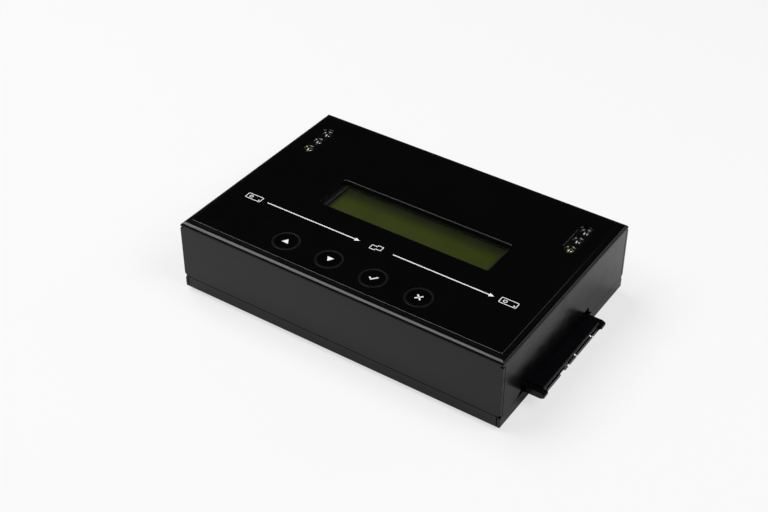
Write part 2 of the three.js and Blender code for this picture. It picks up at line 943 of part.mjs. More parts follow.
function powerJack() {
  const axis = [jackOffset, jackZ];
  const half = jackWidth / 2;
  const bottom = mainTop + seat;
  const box = solidOf(sweptAlongY(polygon([
    [jackOffset - half, bottom],
    [jackOffset + half, bottom],
    [jackOffset + half, bottom + jackHeight - jackChamfer],
    [jackOffset + half - jackChamfer, bottom + jackHeight],
    [jackOffset - half + jackChamfer, bottom + jackHeight],
    [jackOffset - half, bottom + jackHeight - jackChamfer],
  ]), jackBack(), jackFront()));
  const mouth = halfDepth - seat;
  const collar = barAlongY(axis, jackCollarRadius, jackFront() - overrun, mouth, roundSides);
  const bore = barAlongY(axis, jackBoreRadius, mouth - jackBoreDepth, mouth + overrun, roundSides);
  const pin = barAlongY(axis, jackPinRadius, mouth - jackBoreDepth - overrun, mouth - jackPinSetback);
  return joined(cut(joined(box, collar), bore), pin);
}

function powerSwitch() {
  const outer = halfDepth + seat + rockerFlangeDepth;
  const flangeOutline = roundedOutline([rockerOffset, rockerZ], ...rockerFlange, rockerFlangeCorner);
  const flange = solidOf(sweptAlongY(flangeOutline, halfDepth + seat, outer));
  const back = halfDepth - sheet - rockerBodyDepth;
  const halfX = rockerBody[0] / 2;
  const halfZ = rockerBody[1] / 2;
  const body = block(
    [rockerOffset - halfX, back, rockerZ - halfZ],
    [rockerOffset + halfX, outer - rockerFlangeDepth / 2, rockerZ + halfZ],
  );
  const wellX = rockerWell[0] / 2;
  const wellZ = rockerWell[1] / 2;
  const well = block(
    [rockerOffset - wellX, outer - rockerWellDepth, rockerZ - wellZ],
    [rockerOffset + wellX, outer + overrun, rockerZ + wellZ],
  );
  const pivotHole = pillar(
    [rockerOffset, rockerPivotY],
    rockerPinRadius + running,
    rockerZ - wellZ - rockerPinLength - running,
    rockerZ + wellZ + rockerPinLength + running,
  );
  const [terminalX, terminalY, terminalZ] = terminalSize;
  const terminals = [-1, 1].map((side) => {
    const x = rockerOffset + side * terminalPitch / 2;
    return block(
      [x - terminalX / 2, back - terminalY, rockerZ - terminalZ / 2],
      [x + terminalX / 2, back + overrun, rockerZ + terminalZ / 2],
    );
  });
  return joined(cut(joined(flange, body), well, pivotHole), ...terminals);
}

// Rocker about its own pivot, drawn level: a round belly under a shallow V face
function powerRocker() {
  const halfZ = rockerWell[1] / 2 - running;
  const face = rockerFaceRise - rockerPivotDepth;
  const outline = new THREE.Shape();
  outline.moveTo(rockerHalf * Math.cos(rockerTilt) - face * Math.sin(rockerTilt), face);
  outline.lineTo(0, face - rockerFaceDip);
  outline.lineTo(face * Math.sin(rockerTilt) - rockerHalf * Math.cos(rockerTilt), face);
  outline.absarc(0, 0, rockerBelly, Math.PI, 2 * Math.PI);
  const body = plate(outline, -halfZ, halfZ);
  const pinEnd = rockerWell[1] / 2 + rockerPinLength;
  return joined(body, pillar([0, 0], rockerPinRadius, -pinEnd, pinEnd));
}

// Parts on the main board

function onMainBoard(shares) {
  return [shares[0] * mainHalfLength, shares[1] * boardHalfDepth];
}

function leadRow(count, span, edge, along) {
  const pitch = span / count;
  const width = pitch * leadShare;
  const bottom = mainTop + seat;
  const leads = [];
  for (let index = 0; index < count; index += 1) {
    const middle = (index - (count - 1) / 2) * pitch;
    for (const side of [-1, 1]) {
      const ends = [side * (edge - leadReach), side * (edge + leadReach)];
      const across = [middle - width / 2, middle + width / 2];
      const reach = [Math.min(...ends), Math.max(...ends)];
      const [x, y] = along === 'x' ? [across, reach] : [reach, across];
      leads.push(block([x[0], y[0], bottom], [x[1], y[1], bottom + leadHeight]));
    }
  }
  return leads;
}

function chip(length, width, height, rows) {
  const body = block(
    [-length / 2, -width / 2, mainTop + seat + leadHeight / 2],
    [length / 2, width / 2, mainTop + seat + leadHeight / 2 + height],
  );
  return joined(body, ...rows.flat());
}

function controllerChip() {
  const span = controllerSide - leadReach;
  return chip(controllerSide, controllerSide, controllerHeight, [
    leadRow(controllerLeadCount, span, controllerSide / 2, 'x'),
    leadRow(controllerLeadCount, span, controllerSide / 2, 'y'),
  ]);
}

function memoryChip() {
  return chip(memoryLength, memoryWidth, memoryHeight, [
    leadRow(memoryLeadCount, memoryLength, memoryWidth / 2, 'x'),
  ]);
}

function inductor() {
  const outline = roundedOutline([0, 0], coilSide, coilSide, coilCorner);
  return plate(outline, mainTop + seat, mainTop + seat + coilHeight);
}

function capacitor() {
  const bottom = mainTop + seat;
  const groove = bottom + capacitorGrooveAt;
  return turned([
    [0, bottom],
    [capacitorRadius, bottom],
    [capacitorRadius, groove - capacitorGroove],
    [capacitorRadius - capacitorGroove, groove],
    [capacitorRadius, groove + capacitorGroove],
    [capacitorRadius, bottom + capacitorHeight - capacitorGroove],
    [capacitorRadius - capacitorGroove, bottom + capacitorHeight],
    [0, bottom + capacitorHeight],
  ]);
}

function crystal() {
  const bottom = mainTop + seat;
  const rim = roundedOutline([0, 0], crystalLength, crystalWidth, crystalWidth / 2);
  const canLength = crystalLength - 2 * crystalRim;
  const canWidth = crystalWidth - 2 * crystalRim;
  const can = roundedOutline([0, 0], canLength, canWidth, canWidth / 2);
  return joined(
    plate(rim, bottom, bottom + crystalRim),
    plate(can, bottom + crystalRim / 2, bottom + crystalHeight),
  );
}

// Stacking header that joins the two boards
function boardLink() {
  const socketTop = panelBottom - linkPinRise;
  const socket = block(
    [-linkLength / 2, -linkWidth / 2, mainTop + seat],
    [linkLength / 2, linkWidth / 2, socketTop],
  );
  const pins = [];
  for (let index = 0; index < linkPinCount; index += 1) {
    for (let row = 0; row < linkRowCount; row += 1) {
      const x = (index - (linkPinCount - 1) / 2) * linkLength / linkPinCount;
      const y = (row - (linkRowCount - 1) / 2) * linkWidth / linkRowCount;
      pins.push(block(
        [x - linkPinSide / 2, y - linkPinSide / 2, socketTop - linkPinSide],
        [x + linkPinSide / 2, y + linkPinSide / 2, panelBottom - seat],
      ));
    }
  }
  return joined(socket, ...pins);
}

// Materials

function material(color, roughness, metalness, extra = {}) {
  return new THREE.MeshStandardMaterial({ color, roughness, metalness, ...extra });
}

const paintedSteel = () => material(0x16161a, 0.55, 0.2);
const glossFilm = () => material(0x08080a, 0.12, 0);
const keyPlastic = () => material(0x0b0b0d, 0.2, 0);
const clearPane = () => material(0x8a9a70, 0.05, 0, { transparent: true, opacity: 0.3 });
const blackMetal = () => material(0x141416, 0.5, 0.3);
const displayGreen = () => material(0x4a541a, 0.3, 0);
const whitePlastic = () => material(0xd8dccb, 0.5, 0);
const boardGreen = () => material(0x14532d, 0.5, 0.05);
const blackPlastic = () => material(0x101114, 0.45, 0);
const zincSteel = () => material(0xb9bcc0, 0.35, 0.9);
const brass = () => material(0xb9964b, 0.35, 0.9);
const blackRubber = () => material(0x0d0d0d, 0.9, 0);
const aluminium = () => material(0xc8cacc, 0.4, 0.9);
const ferrite = () => material(0x2a2a2c, 0.7, 0.1);
const lampTints = [0xb8b020, 0x3a7a6a, 0x7a2a20];

// Assembly

const duplicator = new THREE.Group();
duplicator.position.y = -rockerFaceReach() / 2;

// How far the raised half of the rocker stands behind the back wall
function rockerFaceReach() {
  const face = rockerFaceRise - rockerPivotDepth;
  const tipX = rockerHalf * Math.cos(rockerTilt) - face * Math.sin(rockerTilt);
  const tipY = tipX * Math.sin(rockerTilt) + face * Math.cos(rockerTilt);
  return rockerPivotY + tipY - halfDepth;
}

function add(name, solid, look, place = [0, 0, 0], turn = 0, parent = duplicator) {
  const mesh = new THREE.Mesh(geometryOf(solid), look);
  mesh.name = name;
  mesh.position.set(...place);
  mesh.rotation.z = turn;
  parent.add(mesh);
}

add('top_cover', topCover(), paintedSteel());
add('base_tray', baseTray(), paintedSteel());
add('graphic_overlay', graphicOverlay(), glossFilm());
add('display_window', displayWindow(), clearPane());
add('lcd_bezel', displayBezel(), blackMetal());
add('lcd_glass', displayGlass(), displayGreen());
add('lcd_backlight', displayLight(), whitePlastic());
add('panel_board', panelBoard(), boardGreen());
add('main_board', mainBoard(), boardGreen());

keyNames.forEach((name, index) => {
  const place = [keyX(index), keyY, 0];
  add(`${name}_key`, keyCap(), keyPlastic(), place);
  add(`${name}_plunger`, plunger(), blackPlastic(), place);
  add(`${name}_switch`, pushSwitch(), blackPlastic(), place);
});

Object.entries(slotPlaces).forEach(([end, x]) => {
  add(`${end}_lamp_holder`, lampHolder(x), blackPlastic());
  lampNames.forEach((name, index) => {
    const place = [x, lampY + (index - 1) * lampPitch, 0];
    add(`${end}_lamp_${name}`, lamp(), material(lampTints[index], 0.1, 0), place);
  });
});

const ends = { target: 1, source: -1 };
Object.entries(ends).forEach(([end, side]) => {
  const stand = new THREE.Group();
  stand.position.set(side * halfLength, driveY, 0);
  stand.rotation.z = side > 0 ? 0 : Math.PI;
  duplicator.add(stand);
  add(`${end}_connector`, driveReceptacle(), blackPlastic(), [0, 0, 0], 0, stand);
});

add('power_jack', powerJack(), blackPlastic());
add('power_switch', powerSwitch(), blackPlastic());
add('power_rocker', powerRocker(), blackPlastic(), [rockerOffset, rockerPivotY, rockerZ], rockerTilt);

fourCorners.forEach(([sideX, sideY], index) => {
  const number = index + 1;
  const footPlace = [sideX * (halfLength - footInset[0]), sideY * (halfDepth - footInset[1]), 0];
  add(`foot_${number}`, foot(), blackRubber(), footPlace);
  add(`case_screw_${number}`, caseScrew(), zincSteel(), [sideX * postX, sideY * postY, 0]);
  add(`board_post_${number}`, boardPost(), brass(), [sideX * postX, sideY * postY, 0]);
  add(`board_screw_${number}`, boardScrew(), zincSteel(), [sideX * trayBossX, sideY * trayBossY, 0]);
});

add('controller_chip', controllerChip(), ferrite(), [...onMainBoard(controllerAtShares), 0]);
add('memory_chip', memoryChip(), ferrite(), [...onMainBoard(memoryAtShares), 0]);
add('inductor', inductor(), ferrite(), [...onMainBoard(coilAtShares), 0]);
add('capacitor', capacitor(), aluminium(), [...onMainBoard(capacitorAtShares), 0]);
add('crystal', crystal(), aluminium(), [...onMainBoard(crystalAtShares), 0]);
add('board_link', boardLink(), blackPlastic(), [...onMainBoard(linkAtShares), 0]);

export default duplicator;
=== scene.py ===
"""Looks of the hard drive duplicator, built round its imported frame.

Lengths are metres, and MM turns a size in millimetres into metres. Places on the case are measured
from its front left corner seen from above, across to the right and back from the front.
"""

import math

import bmesh
import bpy
from mathutils import Matrix, Vector


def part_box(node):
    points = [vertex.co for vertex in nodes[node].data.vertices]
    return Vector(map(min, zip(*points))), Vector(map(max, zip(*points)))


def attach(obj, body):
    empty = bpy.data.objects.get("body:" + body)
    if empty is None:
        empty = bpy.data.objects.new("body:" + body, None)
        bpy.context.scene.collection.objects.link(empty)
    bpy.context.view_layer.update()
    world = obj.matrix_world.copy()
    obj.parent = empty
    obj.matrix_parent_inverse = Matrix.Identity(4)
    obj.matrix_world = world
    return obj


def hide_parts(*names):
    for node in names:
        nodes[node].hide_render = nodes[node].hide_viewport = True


MM = 0.001

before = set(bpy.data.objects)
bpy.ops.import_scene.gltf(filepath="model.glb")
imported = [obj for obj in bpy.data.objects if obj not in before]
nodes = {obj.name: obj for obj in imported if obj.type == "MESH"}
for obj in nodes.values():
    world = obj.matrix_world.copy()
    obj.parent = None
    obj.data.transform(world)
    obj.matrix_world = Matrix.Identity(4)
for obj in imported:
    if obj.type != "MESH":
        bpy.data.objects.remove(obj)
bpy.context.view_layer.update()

KEYS = ("up", "down", "ok", "esc")
ENDS = {"source": -1, "target": 1}
LAMPS = ("front", "middle", "back")

CASE_LOW, CASE_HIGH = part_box("top_cover")
FILM_LOW, FILM_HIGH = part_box("graphic_overlay")


def turned_to(x_axis, y_axis, z_axis):
    """The turn that brings the axes x, y and z onto these three."""
    return Matrix((x_axis, y_axis, z_axis)).transposed().to_4x4()


# Camera: the photograph's own view, solved from the corners of the case
PHOTO_SIZE = (768, 512)
FOCAL_PIXELS = 1383.15
CENTRE_PIXEL = (442.57, 212.89)
SENSOR = 36.0
VIEW_TURN = math.radians(31.133)
VIEW_RISE = math.radians(35.981)
VIEW_ROLL = math.radians(1.875)
VIEW_DISTANCE = 495.84 * MM
VIEW_TARGET = Vector((-2.593, 26.162, 15.077)) * MM
CLIP_SPAN = 100


def make_camera():
    rise = math.cos(VIEW_RISE)
    back = Vector((math.sin(VIEW_TURN) * rise, -math.cos(VIEW_TURN) * rise, math.sin(VIEW_RISE)))
    level = Vector((math.cos(VIEW_TURN), math.sin(VIEW_TURN), 0))
    above = back.cross(level)
    right = math.cos(VIEW_ROLL) * level + math.sin(VIEW_ROLL) * above
    upward = math.cos(VIEW_ROLL) * above - math.sin(VIEW_ROLL) * level
    data = bpy.data.cameras.new("camera")
    data.sensor_width = SENSOR
    data.lens = FOCAL_PIXELS * SENSOR / PHOTO_SIZE[0]
    data.shift_x = (PHOTO_SIZE[0] / 2 - CENTRE_PIXEL[0]) / PHOTO_SIZE[0]
    data.shift_y = (CENTRE_PIXEL[1] - PHOTO_SIZE[1] / 2) / PHOTO_SIZE[0]
    data.clip_start = VIEW_DISTANCE / CLIP_SPAN
    data.clip_end = VIEW_DISTANCE * CLIP_SPAN
    camera = bpy.data.objects.new("camera", data)
    bpy.context.scene.collection.objects.link(camera)
    place = VIEW_TARGET + VIEW_DISTANCE * back
    camera.matrix_world = Matrix.Translation(place) @ turned_to(right, upward, back)
    bpy.context.scene.camera = camera


# Materials: each is uneven in tone or gloss, and the opaque ones also have a fine grain
WHITE = (1, 1, 1, 1)
# Range of the noise that is spread over a change of tone or gloss
NOISE_LOW = 0.3
NOISE_HIGH = 0.7
# Sockets of a colour mix, which share their names with those for other kinds of value
MIX_FACTOR, MIX_FIRST, MIX_SECOND = 0, 6, 7
MIX_RESULT = 2


class Graph:
    """A new material with its node tree."""

    def __init__(self, name):
        self.material = bpy.data.materials.new(name)
        self.material.use_nodes = True
        self.tree = self.material.node_tree
        self.shader = self.tree.nodes["Principled BSDF"]
        self.output = self.tree.nodes["Material Output"]

    def add(self, kind, **settings):
        node = self.tree.nodes.new("ShaderNode" + kind)
        for key, value in settings.items():
            setattr(node, key, value)
        return node

    def link(self, start, end):
        self.tree.links.new(start, end)

    def noise(self, size, detail=2.0, stretch=(1, 1, 1)):
        """Noise with blobs about size across, longer along an axis by its stretch."""
        place = self.add("TexCoord")
        scaled = self.add("Mapping")
        scaled.inputs["Scale"].default_value = [1 / (size * along) for along in stretch]
        self.link(place.outputs["Object"], scaled.inputs["Vector"])
        texture = self.add("TexNoise")
        texture.inputs["Scale"].default_value = 1
        texture.inputs["Detail"].default_value = detail
        self.link(scaled.outputs["Vector"], texture.inputs["Vector"])
        return texture.outputs[0]

    def between(self, factor, low, high, start=NOISE_LOW, end=NOISE_HIGH, smooth=False):
        """The factor's range from start to end, as values from low to high."""
        spread = self.add("MapRange", interpolation_type="SMOOTHSTEP" if smooth else "LINEAR")
        settings = {"From Min": start, "From Max": end, "To Min": low, "To Max": high}
        for name, value in settings.items():
            spread.inputs[name].default_value = value
        self.link(factor, spread.inputs["Value"])
        return spread.outputs["Result"]

    def blend(self, factor, first, second):
        """A colour between first and second by the factor."""
        mix = self.add("Mix", data_type="RGBA")
        mix.inputs[MIX_FIRST].default_value = (*first, 1)
        mix.inputs[MIX_SECOND].default_value = (*second, 1)
        self.link(factor, mix.inputs[MIX_FACTOR])
        return mix.outputs[MIX_RESULT]

    def bump(self, height, depth):
        relief = self.add("Bump")
        relief.inputs["Distance"].default_value = depth
        self.link(height, relief.inputs["Height"])
        self.link(relief.outputs["Normal"], self.shader.inputs["Normal"])


def combine(tree, operation, first, second):
    node = tree.nodes.new("ShaderNodeMath")
    node.operation = operation
    for socket, value in zip(node.inputs, (first, second)):
        if isinstance(value, (int, float)):
            socket.default_value = value
        else:
            tree.links.new(value, socket)
    return node.outputs[0]


TONE_DETAIL = 4.0
WEAR_DETAIL = 5.0
WEAR_SIZE = 1 / 3


def surface(name, colour, roughness, *, metallic=0.0, specular=0.5, shade=0.15, mottle=9 * MM,
            gloss_change=0.04, grain=0.3 * MM, depth=0.002 * MM, octaves=3.0, stretch=(1, 1, 1)):
    """A material from its colour and gloss, with mottling, and a grain of that size and depth."""
    graph = Graph(name)
    shader = graph.shader
    shader.inputs["Metallic"].default_value = metallic
    shader.inputs["Specular IOR Level"].default_value = specular
    tone = graph.between(graph.noise(mottle, TONE_DETAIL, stretch), 0, 1)
    dark = [part * (1 - shade) for part in colour]
    light = [part * (1 + shade) for part in colour]
    graph.link(graph.blend(tone, dark, light), shader.inputs["Base Color"])
    wear = graph.noise(mottle * WEAR_SIZE, WEAR_DETAIL, stretch)
    gloss = graph.between(wear, roughness - gloss_change, roughness + gloss_change)
    graph.link(gloss, shader.inputs["Roughness"])
    graph.bump(graph.noise(grain, octaves, stretch), depth)
    return graph.material


CLEAR = (0.9, 0.92, 0.9)
ACRYLIC_IOR = 1.49
SMEAR_SIZE = 7 * MM
SMEAR_GLOSS = (0.02, 0.07)


def clear_pane():
    """Clear acrylic: what lies behind shows through, under a reflection that grows at a slant."""
    graph = Graph("clear_pane")
    through = graph.add("BsdfTransparent")
    through.inputs["Color"].default_value = (*CLEAR, 1)
    gloss = graph.add("BsdfGlossy")
    gloss.inputs["Color"].default_value = WHITE
    smear = graph.between(graph.noise(SMEAR_SIZE, TONE_DETAIL), *SMEAR_GLOSS)
    graph.link(smear, gloss.inputs["Roughness"])
    slant = graph.add("Fresnel")
    slant.inputs["IOR"].default_value = ACRYLIC_IOR
    side = graph.add("NewGeometry")
    from_outside = combine(graph.tree, "SUBTRACT", 1, side.outputs["Backfacing"])
    share = combine(graph.tree, "MULTIPLY", slant.outputs["Fac"], from_outside)
    mix = graph.add("MixShader")
    graph.link(share, mix.inputs[0])
    graph.link(through.outputs["BSDF"], mix.inputs[1])
    graph.link(gloss.outputs["BSDF"], mix.inputs[2])
    graph.link(mix.outputs["Shader"], graph.output.inputs["Surface"])
    return graph.material


RING = "ring"
KEY_BLACK = (0.0009, 0.0009, 0.0009)
# Painted sheen: the ring's lighter colour
RING_SHEEN_TONE = (0.0015, 0.0015, 0.0016)
RING_UNEVEN = (0.8, 1.0)
RING_MOTTLE = 0.5 * MM
KEY_GRAIN = 0.15 * MM
KEY_GRAIN_DEPTH = 0.0006 * MM
# On the cap, and where the ring is strongest
KEY_SPECULAR = (0.25, 0.07)
KEY_ROUGHNESS = (0.1, 0.65)


def key_cap():
    """Glossy black, turning matt and, as a painted sheen, lighter where the ring attribute rises to
    1.
    """
    graph = Graph("key_cap")
    shader = graph.shader
    ring = graph.add("Attribute", attribute_name=RING).outputs["Fac"]
    graph.link(graph.between(ring, *KEY_SPECULAR, 0, 1), shader.inputs["Specular IOR Level"])
    tone = graph.between(graph.noise(RING_MOTTLE, TONE_DETAIL), *RING_UNEVEN)
    share = combine(graph.tree, "MULTIPLY", ring, tone)
    # Painted sheen: the ring is a little lighter in colour than the cap
    graph.link(graph.blend(share, KEY_BLACK, RING_SHEEN_TONE), shader.inputs["Base Color"])
    graph.link(graph.between(ring, *KEY_ROUGHNESS, 0, 1), shader.inputs["Roughness"])
    graph.bump(graph.noise(KEY_GRAIN), KEY_GRAIN_DEPTH)
    return graph.material


EPOXY_IOR = 1.6
EPOXY_CLEARNESS = 0.8
EPOXY_COAT = 0.6
EPOXY_DARK = 0.8
EPOXY_MOTTLE = 0.8 * MM
EPOXY_WEAR = 0.5 * MM
EPOXY_ROUGHNESS = (0.03, 0.08)


def tinted_epoxy(name, colour):
    """The clear resin of a lamp, tinted through its depth."""
    graph = Graph(name)
    shader = graph.shader
    shader.inputs["Transmission Weight"].default_value = EPOXY_CLEARNESS
    shader.inputs["IOR"].default_value = EPOXY_IOR
    shader.inputs["Coat Weight"].default_value = EPOXY_COAT
    shader.inputs["Coat IOR"].default_value = EPOXY_IOR
    tone = graph.between(graph.noise(EPOXY_MOTTLE), 0, 1)
    dark = [part * EPOXY_DARK for part in colour]
    graph.link(graph.blend(tone, dark, colour), shader.inputs["Base Color"])
    gloss = graph.between(graph.noise(EPOXY_WEAR), *EPOXY_ROUGHNESS)
    graph.link(gloss, shader.inputs["Roughness"])
    return graph.material


# Display cells, 16 by 2, each hardly darker than the glass between them. The glass has painted
# shade near its back and left edges, where the rim above keeps the light from its reflector.
CELL_PITCH = (3.55 * MM, 5.95 * MM)
CELL_GAP = 0.6 * MM
CELL_TONES = {
    "Color1": (0.057, 0.070, 0.0056),
    "Color2": (0.056, 0.069, 0.0056),
    "Mortar": (0.060, 0.073, 0.006),
}
VIEW_BACK = 7.05 * MM
VIEW_LEFT = -29.75 * MM
# Reach and depth of the painted shade at the back and left edges of the view
PAINTED_SHADE_REACH = 8.0 * MM
PAINTED_SHADE_LEFT = 2.5 * MM
PAINTED_SHADE_SHARE = 0.22
CELL_SOFTNESS = 0.5
GLASS_METALLIC = 0.55
GLASS_MOTTLE = 12 * MM
GLASS_ROUGHNESS = (0.40, 0.48)
GLASS_GRAIN = 0.2 * MM
GLASS_GRAIN_DEPTH = 0.001 * MM


def display_glass():
    graph = Graph("display_green")
    shader = graph.shader
    shader.inputs["Metallic"].default_value = GLASS_METALLIC
    place = graph.add("TexCoord")
    parts = graph.add("SeparateXYZ")
    graph.link(place.outputs["Object"], parts.inputs[0])
    across, depth = parts.outputs["X"], parts.outputs["Y"]
    # Painted shade: the base colour darkens towards the back and left edges of the view
    from_back = graph.between(depth, 1, 0, VIEW_BACK - PAINTED_SHADE_REACH, VIEW_BACK, smooth=True)
    from_left = graph.between(across, 0, 1, VIEW_LEFT, VIEW_LEFT + PAINTED_SHADE_LEFT, smooth=True)
    inside = combine(graph.tree, "MULTIPLY", from_back, from_left)
    lit = graph.between(inside, PAINTED_SHADE_SHARE, 1, 0, 1)
    cells = graph.add("TexBrick", offset=0.0, squash=1.0)
    for name, tone in CELL_TONES.items():
        cells.inputs[name].default_value = (*tone, 1)
    cells.inputs["Scale"].default_value = 1
    cells.inputs["Mortar Size"].default_value = CELL_GAP / 2
    cells.inputs["Mortar Smooth"].default_value = CELL_SOFTNESS
    cells.inputs["Brick Width"].default_value = CELL_PITCH[0]
    cells.inputs["Row Height"].default_value = CELL_PITCH[1]
    graph.link(place.outputs["Object"], cells.inputs["Vector"])
    shaded = graph.add("Mix", data_type="RGBA")
    shaded.inputs[MIX_FIRST].default_value = (0, 0, 0, 1)
    graph.link(cells.outputs["Color"], shaded.inputs[MIX_SECOND])
    graph.link(lit, shaded.inputs[MIX_FACTOR])
    graph.link(shaded.outputs[MIX_RESULT], shader.inputs["Base Color"])
    gloss = graph.between(graph.noise(GLASS_MOTTLE), *GLASS_ROUGHNESS)
    graph.link(gloss, shader.inputs["Roughness"])
    graph.bump(graph.noise(GLASS_GRAIN), GLASS_GRAIN_DEPTH)
    return graph.material


PAINT = surface("case_paint", (0.0012, 0.0012, 0.0014), 0.21, specular=0.33, grain=0.6 * MM,
                depth=0.019 * MM, octaves=1.0, shade=0.2, mottle=14 * MM)
FILM = surface("gloss_film", (0.0009, 0.0009, 0.0009), 0.08, specular=0.8, grain=1.2 * MM,
               depth=0.0004 * MM, mottle=18 * MM, gloss_change=0.03)
INK = surface("white_ink", (0.68, 0.68, 0.67), 0.5, grain=0.12 * MM, depth=0.001 * MM, shade=0.05,
              mottle=2 * MM)
BLACK_METAL = surface("black_metal", (0.009, 0.009, 0.009), 0.42, grain=0.25 * MM)
MOULDING = surface("black_moulding", (0.0026, 0.0026, 0.0040), 0.24, specular=0.42, grain=0.2 * MM,
                   depth=0.002 * MM)
GLOSS_MOULDING = surface("gloss_moulding", (0.0015, 0.0015, 0.0018), 0.16, grain=0.5 * MM,
                         depth=0.0006 * MM, mottle=3 * MM)
HOLDER = surface("lamp_holder", (0.0015, 0.0015, 0.0018), 0.12, specular=1.0, grain=0.5 * MM,
                 depth=0.0006 * MM, mottle=3 * MM)
RUBBER = surface("black_rubber", (0.013, 0.013, 0.013), 0.85, specular=0.3, grain=0.3 * MM,
                 depth=0.01 * MM)
GOLD = surface("gold_contact", (0.83, 0.62, 0.28), 0.25, metallic=1.0, grain=0.1 * MM,
               depth=0.0005 * MM)
TIN = surface("tinned_metal", (0.62, 0.62, 0.6), 0.3, metallic=1.0, grain=0.15 * MM,
              depth=0.001 * MM)
SPRING = surface("spring_steel", (0.75, 0.75, 0.74), 0.16, metallic=1.0, grain=0.15 * MM,
                 depth=0.0005 * MM)
BLACK_STEEL = surface("black_steel", (0.03, 0.03, 0.032), 0.35, metallic=0.8, grain=0.15 * MM)
ZINC = surface("zinc_steel", (0.5, 0.5, 0.51), 0.3, metallic=1.0, grain=0.15 * MM)
NICKEL = surface("nickel_brass", (0.6, 0.58, 0.52), 0.28, metallic=1.0, grain=0.2 * MM)
SOLDER_MASK = surface("board_green", (0.008, 0.07, 0.022), 0.35, grain=0.8 * MM, shade=0.2,
                      mottle=3 * MM)
MILKY = surface("white_plastic", (0.62, 0.64, 0.55), 0.5)
EPOXY_CHIP = surface("chip_black", (0.018, 0.018, 0.02), 0.6, grain=0.12 * MM, depth=0.003 * MM)
CAN = surface("aluminium", (0.7, 0.71, 0.72), 0.32, metallic=1.0, grain=0.2 * MM,
              stretch=(1, 1, 8))
FERRITE = surface("ferrite", (0.03, 0.03, 0.032), 0.65, grain=0.2 * MM, depth=0.006 * MM)
PANE = clear_pane()
DISPLAY = display_glass()
KEY_CAP = key_cap()
LAMP_TINTS = {
    "front": tinted_epoxy("lamp_yellow", (0.17, 0.18, 0.03)),
    "middle": tinted_epoxy("lamp_green", (0.028, 0.05, 0.045)),
    "back": tinted_epoxy("lamp_red", (0.045, 0.014, 0.01)),
}


# Dressing of the frame's own nodes
EDGE_ANGLE = math.radians(35)
FOLD_ANGLE = math.radians(30)
ALONG_AXIS = 0.999
SMALL_AREA = 1e-12
FLAT_ANGLE = math.radians(0.5)
MERGE = 0.001 * MM
# Decimals that tell facings and places apart
FACING_DIGITS = 3
PLACE_DIGITS = 6
# How near an edge of the film a point counts as on it, and how far a lamp slot's points lie from
# the middle of its lamps
RIM = 0.5 * MM
SLOT_REACH = 3.0 * MM
FILM_FACET = 0.08 * MM
FILM_FACETS = 3
FOOT_ROUNDING = 0.2 * MM
HOLDER_ROUNDING = 0.11 * MM
CORNERS = range(1, 5)


def crease(piece):
    split = piece.modifiers.new("creases", "EDGE_SPLIT")
    split.split_angle = EDGE_ANGLE
    piece.modifiers.new("normals", "WEIGHTED_NORMAL")


def coat(name, material):
    piece = nodes[name]
    piece.data.materials.clear()
    piece.data.materials.append(material)
    for face in piece.data.polygons:
        face.use_smooth = True
    return piece


def dress_sheet(name, material):
    """Gives a folded sheet its material, with smooth bends, and sharp edges and mitres."""
    mesh = coat(name, material).data
    areas = {}
    meeting = {}
    for face in mesh.polygons:
        if face.area < SMALL_AREA:
            continue
        facing = face.normal.to_tuple(FACING_DIGITS)
        areas[facing] = areas.get(facing, 0) + face.area
        for corner in face.vertices:
            place = mesh.vertices[corner].co.to_tuple(PLACE_DIGITS)
            meeting.setdefault(place, set()).add(facing)

    def blends(first, second):
        turn = first.cross(second)
        if turn.length < math.sin(FLAT_ANGLE):
            return first.dot(second) > 0
        along = max(abs(part) for part in turn.normalized())
        return along > ALONG_AXIS and first.angle(second) < FOLD_ANGLE

    normals = [None] * len(mesh.loops)
    for face in mesh.polygons:
        for loop in face.loop_indices:
            corner = mesh.loops[loop].vertex_index
            place = mesh.vertices[corner].co.to_tuple(PLACE_DIGITS)
            total = Vector()
            for facing in sorted(meeting.get(place, ())):
                if blends(face.normal, Vector(facing)):
                    total += Vector(facing) * areas[facing]
            normals[loop] = total.normalized() if total.length else face.normal.copy()
    mesh.normals_split_custom_set(normals)


def dress(name, material, edge=0.0, steps=2, only=None):
    """Gives a node its material, and rounds its sharp edges.

    With only, it cuts flat facets on the edges between the points chosen, and on no other edge.
    """
    piece = coat(name, material)
    merge = piece.modifiers.new("merge", "WELD")
    merge.merge_threshold = MERGE
    flats = piece.modifiers.new("flats", "DECIMATE")
    flats.decimate_type = "DISSOLVE"
    flats.angle_limit = FLAT_ANGLE
    if edge:
        rounding = piece.modifiers.new("edges", "BEVEL")
        rounding.width = edge
        rounding.segments = steps
        rounding.use_clamp_overlap = False
        if only:
            chosen = piece.vertex_groups.new(name="chosen")
            points = [point.index for point in piece.data.vertices if only(point.co)]
            chosen.add(points, 1.0, "REPLACE")
            rounding.limit_method = "VGROUP"
            rounding.vertex_group = chosen.name
        else:
            rounding.limit_method = "ANGLE"
            rounding.angle_limit = EDGE_ANGLE
    if only:
        piece.data.shade_flat()
    else:
        crease(piece)


def on_film_edge(place):
    """At the film's rim, or at the back or left edge of the window's hole or of a lamp slot."""
    if place.z < FILM_HIGH.z - MERGE:
        return False
    rim_x = min(place.x - FILM_LOW.x, FILM_HIGH.x - place.x)
    rim_y = min(place.y - FILM_LOW.y, FILM_HIGH.y - place.y)
    if min(rim_x, rim_y) < RIM:
        return True
    low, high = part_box("display_window")
    if place.x - low.x > -RIM and high.x - place.x > -RIM and place.y - low.y > -RIM:
        return min(abs(place.x - low.x), abs(place.y - high.y)) < RIM
    for end in ENDS:
        low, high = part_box(f"{end}_lamp_front")
        middle = (low.x + high.x) / 2
        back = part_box(f"{end}_lamp_back")[1].y
        if abs(place.x - middle) < SLOT_REACH:
            return place.x < middle or place.y > back
    return False


